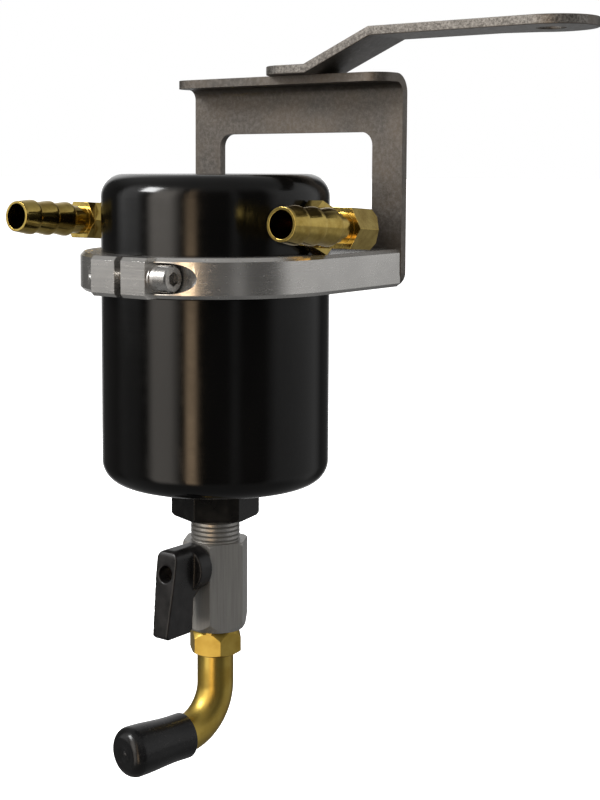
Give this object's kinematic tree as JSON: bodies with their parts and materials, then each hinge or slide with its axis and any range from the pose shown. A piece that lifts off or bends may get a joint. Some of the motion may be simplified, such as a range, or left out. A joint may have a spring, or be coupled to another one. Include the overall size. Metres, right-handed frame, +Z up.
{
  "type": "oil catch can",
  "caption": "Bracket-mounted breather oil catch can with angled hose barbs, a clamp ring, a screw-off bowl and a ball valve drain with a capped outlet.",
  "frame": {"origin": "centre of the hanging strap's bolt hole, on the strap's upper face", "axes": "+Z up along the can's centre line and the bolt hole, -Y to the front where the hose barbs, the valve handle and the drain outlet point, +X to the inlet side and out along the strap"},
  "size_m": [0.1805, 0.0985, 0.2447],
  "materials": {
    "bracket_steel": "as rolled, mottled, lightly oiled",
    "stainless": "turned and lightly polished",
    "clamp_aluminium": "machined with fine tool lines",
    "black_anodised": "glossy black anodised over turned aluminium",
    "steel_mesh": "knitted wire",
    "bare_aluminium": "turned",
    "brass_bar": "machined bar, slightly aged",
    "polished_brass": "polished tube",
    "black_bushing": "satin black anodised",
    "satin_nickel": "satin nickel plate",
    "white_ptfe": "matt",
    "black_plastic": "fine moulded grain",
    "black_rubber": "smooth, glossy"
  },
  "bodies": {
    "head": {"bracket_plate": "bracket_steel", "bracket_strap": "bracket_steel", "bracket_screws": "stainless", "bracket_washers": "stainless", "clamp_ring": "clamp_aluminium", "clamp_screw": "stainless", "clamp_washers": "stainless", "upper_housing": "black_anodised", "baffle_plate": "stainless", "filter_media": "steel_mesh", "media_retainer": "stainless", "baffle_spacers": "stainless", "baffle_screws": "stainless", "inlet_tube": "bare_aluminium", "inlet_elbow": "brass_bar", "outlet_elbow": "brass_bar"},
    "seal": {"body_seal": "black_rubber"},
    "bowl": {"lower_bowl": "black_anodised", "drain_bushing": "black_bushing", "bushing_seal": "bare_aluminium", "valve_body": "satin_nickel", "valve_seats": "white_ptfe", "valve_end_ring": "satin_nickel", "stem_seal": "white_ptfe", "drain_elbow": "polished_brass"},
    "handle": {"valve_ball": "stainless", "valve_stem": "stainless", "valve_handle": "black_plastic", "handle_screw": "stainless"},
    "cap": {"drain_cap": "black_rubber"}
  },
  "joints": [
    {"name": "bowl_drop", "type": "slide", "parent": "head", "child": "seal", "axis": [0, 0, -1], "range_m": [0, 0.008]},
    {"name": "bowl_turn", "type": "hinge", "parent": "seal", "child": "bowl", "pos_m": [-0.103, -0.036, -0.1176], "axis": [0, 0, -1], "range_deg": [0, 1440]},
    {"name": "valve_turn", "type": "hinge", "parent": "bowl", "child": "handle", "pos_m": [-0.103, -0.046, -0.1781], "axis": [0, 1, 0], "range_deg": [0, 90]},
    {"name": "cap_pull", "type": "slide", "parent": "bowl", "child": "cap", "axis": [-0.1736, -0.9848, 0], "range_m": [0, 0.03]}
  ],
  "couplings": [
    {"joint": "bowl_drop", "follows": "bowl_turn", "m_per_rad": 0.00031831}
  ]
}
